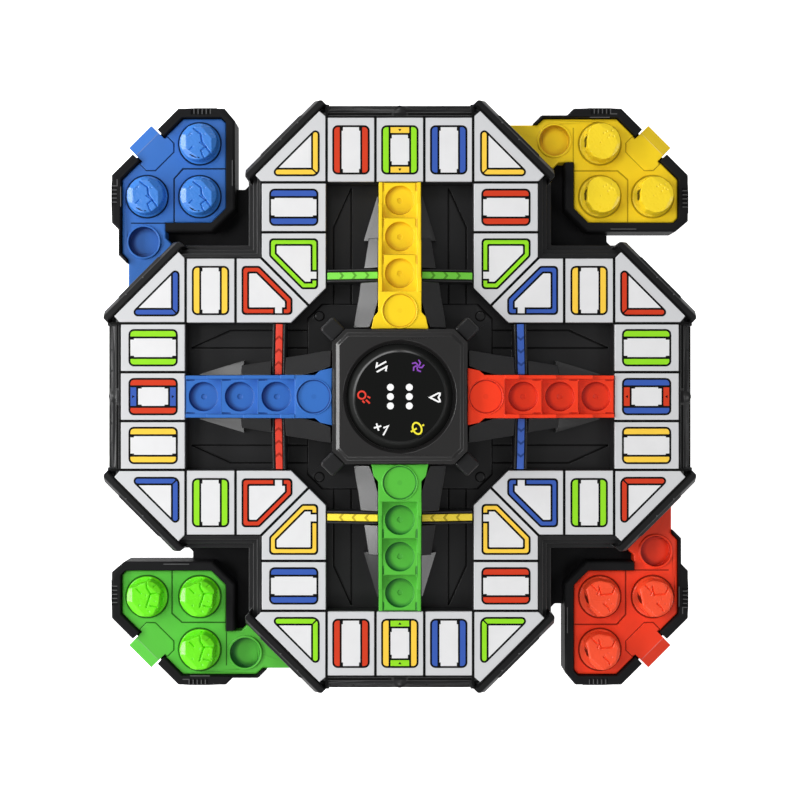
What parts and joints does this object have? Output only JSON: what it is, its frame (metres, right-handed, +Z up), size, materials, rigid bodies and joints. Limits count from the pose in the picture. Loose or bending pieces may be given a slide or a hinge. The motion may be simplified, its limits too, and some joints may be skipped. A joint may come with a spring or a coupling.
{
  "type": "electronic ludo game",
  "caption": "Square ludo game with a raised white track, four coloured home stairs, a centre push-button dice and pull-out corner trays of tokens.",
  "frame": {"origin": "centre of the square footprint, on the surface that the game stands on", "axes": "+Z up; +Y to the arm with the yellow home stair, +X to the arm with the red one"},
  "size_m": [0.284, 0.284, 0.051],
  "materials": {
    "black_casing": "fine satin texture",
    "black_tray": "fine satin texture",
    "black_tower": "satin",
    "black_gloss": "polished",
    "white_tile": "satin white",
    "yellow_plastic": "satin",
    "red_plastic": "satin",
    "green_plastic": "satin",
    "blue_plastic": "satin",
    "yellow_token": "satin",
    "red_token": "satin",
    "green_token": "bright satin",
    "blue_token": "satin",
    "yellow_strip": "printed colour",
    "red_strip": "printed colour",
    "green_strip": "printed colour",
    "blue_strip": "printed colour",
    "white_lamp": "lit white",
    "circuit_board": "green board",
    "black_fitting": "plain",
    "spring_steel": "bright",
    "screw_steel": "dark plated",
    "foot_rubber": "matt",
    "cell_wrap": "plain wrapped cells",
    "speaker_metal": "plain"
  },
  "bodies": {
    "base": {"ring_deck": "black_casing", "sunken_floor": "black_casing", "rock_ridges": "black_casing", "corner_posts": "black_casing", "bottom_shell": "black_casing", "tower_housing": "black_tower", "corner_tiles": "white_tile", "plain_tiles": "white_tile", "bend_tiles": "white_tile", "gate_tiles": "white_tile", "home_stair_yellow": "yellow_plastic", "home_stair_red": "red_plastic", "home_stair_green": "green_plastic", "home_stair_blue": "blue_plastic", "bridge_green": "green_strip", "bridge_blue": "blue_strip", "bridge_yellow": "yellow_strip", "bridge_red": "red_strip", "main_board": "circuit_board", "dice_switch": "black_fitting", "dice_spring": "spring_steel", "rubber_feet": "foot_rubber", "shell_screws": "screw_steel", "tower_screws": "screw_steel", "battery_cells": "cell_wrap", "battery_contacts": "spring_steel", "speaker": "speaker_metal", "power_switch": "black_fitting"},
    "dice_button": {"dice_cap": "black_gloss", "button_carrier": "black_casing", "lamp_board": "circuit_board", "light_shroud": "white_lamp"},
    "power_slider": {"power_slider": "black_fitting"},
    "battery_door": {"battery_door": "black_casing", "door_screws": "screw_steel"},
    "tray_blue": {"tray_frame_blue": "black_tray", "tray_insert_blue": "blue_plastic", "pull_tab_blue": "blue_plastic"},
    "token_blue_1": {"token_blue_1": "blue_token"},
    "token_blue_2": {"token_blue_2": "blue_token"},
    "token_blue_3": {"token_blue_3": "blue_token"},
    "tray_yellow": {"tray_frame_yellow": "black_tray", "tray_insert_yellow": "yellow_plastic", "pull_tab_yellow": "yellow_plastic"},
    "token_yellow_1": {"token_yellow_1": "yellow_token"},
    "token_yellow_2": {"token_yellow_2": "yellow_token"},
    "token_yellow_3": {"token_yellow_3": "yellow_token"},
    "tray_red": {"tray_frame_red": "black_tray", "tray_insert_red": "red_plastic", "pull_tab_red": "red_plastic"},
    "token_red_1": {"token_red_1": "red_token"},
    "token_red_2": {"token_red_2": "red_token"},
    "token_red_3": {"token_red_3": "red_token"},
    "tray_green": {"tray_frame_green": "black_tray", "tray_insert_green": "green_plastic", "pull_tab_green": "green_plastic"},
    "token_green_1": {"token_green_1": "green_token"},
    "token_green_2": {"token_green_2": "green_token"},
    "token_green_3": {"token_green_3": "green_token"}
  },
  "joints": [
    {"name": "dice_press", "type": "slide", "parent": "base", "child": "dice_button", "axis": [0, 0, -1], "range_m": [0, 0.0022], "stiffness_N_per_m": 350, "springref_m": -0.004, "deforming": ["dice_spring"]},
    {"name": "power_slide", "type": "slide", "parent": "base", "child": "power_slider", "axis": [1, 0, 0], "range_m": [0, 0.004]},
    {"name": "battery_door_lift", "type": "slide", "parent": "base", "child": "battery_door", "axis": [0, 0, -1], "range_m": [0, 0.03]},
    {"name": "tray_blue_slide", "type": "slide", "parent": "base", "child": "tray_blue", "axis": [-0.7071, 0.7071, 0], "range_m": [0, 0.045]},
    {"name": "token_blue_1_lift", "type": "slide", "parent": "tray_blue", "child": "token_blue_1", "axis": [0, 0, 1], "range_m": [0, 0.025]},
    {"name": "token_blue_2_lift", "type": "slide", "parent": "tray_blue", "child": "token_blue_2", "axis": [0, 0, 1], "range_m": [0, 0.025]},
    {"name": "token_blue_3_lift", "type": "slide", "parent": "tray_blue", "child": "token_blue_3", "axis": [0, 0, 1], "range_m": [0, 0.025]},
    {"name": "tray_yellow_slide", "type": "slide", "parent": "base", "child": "tray_yellow", "axis": [0.7071, 0.7071, 0], "range_m": [0, 0.045]},
    {"name": "token_yellow_1_lift", "type": "slide", "parent": "tray_yellow", "child": "token_yellow_1", "axis": [0, 0, 1], "range_m": [0, 0.025]},
    {"name": "token_yellow_2_lift", "type": "slide", "parent": "tray_yellow", "child": "token_yellow_2", "axis": [0, 0, 1], "range_m": [0, 0.025]},
    {"name": "token_yellow_3_lift", "type": "slide", "parent": "tray_yellow", "child": "token_yellow_3", "axis": [0, 0, 1], "range_m": [0, 0.025]},
    {"name": "tray_red_slide", "type": "slide", "parent": "base", "child": "tray_red", "axis": [0.7071, -0.7071, 0], "range_m": [0, 0.045]},
    {"name": "token_red_1_lift", "type": "slide", "parent": "tray_red", "child": "token_red_1", "axis": [0, 0, 1], "range_m": [0, 0.025]},
    {"name": "token_red_2_lift", "type": "slide", "parent": "tray_red", "child": "token_red_2", "axis": [0, 0, 1], "range_m": [0, 0.025]},
    {"name": "token_red_3_lift", "type": "slide", "parent": "tray_red", "child": "token_red_3", "axis": [0, 0, 1], "range_m": [0, 0.025]},
    {"name": "tray_green_slide", "type": "slide", "parent": "base", "child": "tray_green", "axis": [-0.7071, -0.7071, 0], "range_m": [0, 0.045]},
    {"name": "token_green_1_lift", "type": "slide", "parent": "tray_green", "child": "token_green_1", "axis": [0, 0, 1], "range_m": [0, 0.025]},
    {"name": "token_green_2_lift", "type": "slide", "parent": "tray_green", "child": "token_green_2", "axis": [0, 0, 1], "range_m": [0, 0.025]},
    {"name": "token_green_3_lift", "type": "slide", "parent": "tray_green", "child": "token_green_3", "axis": [0, 0, 1], "range_m": [0, 0.025]}
  ]
}
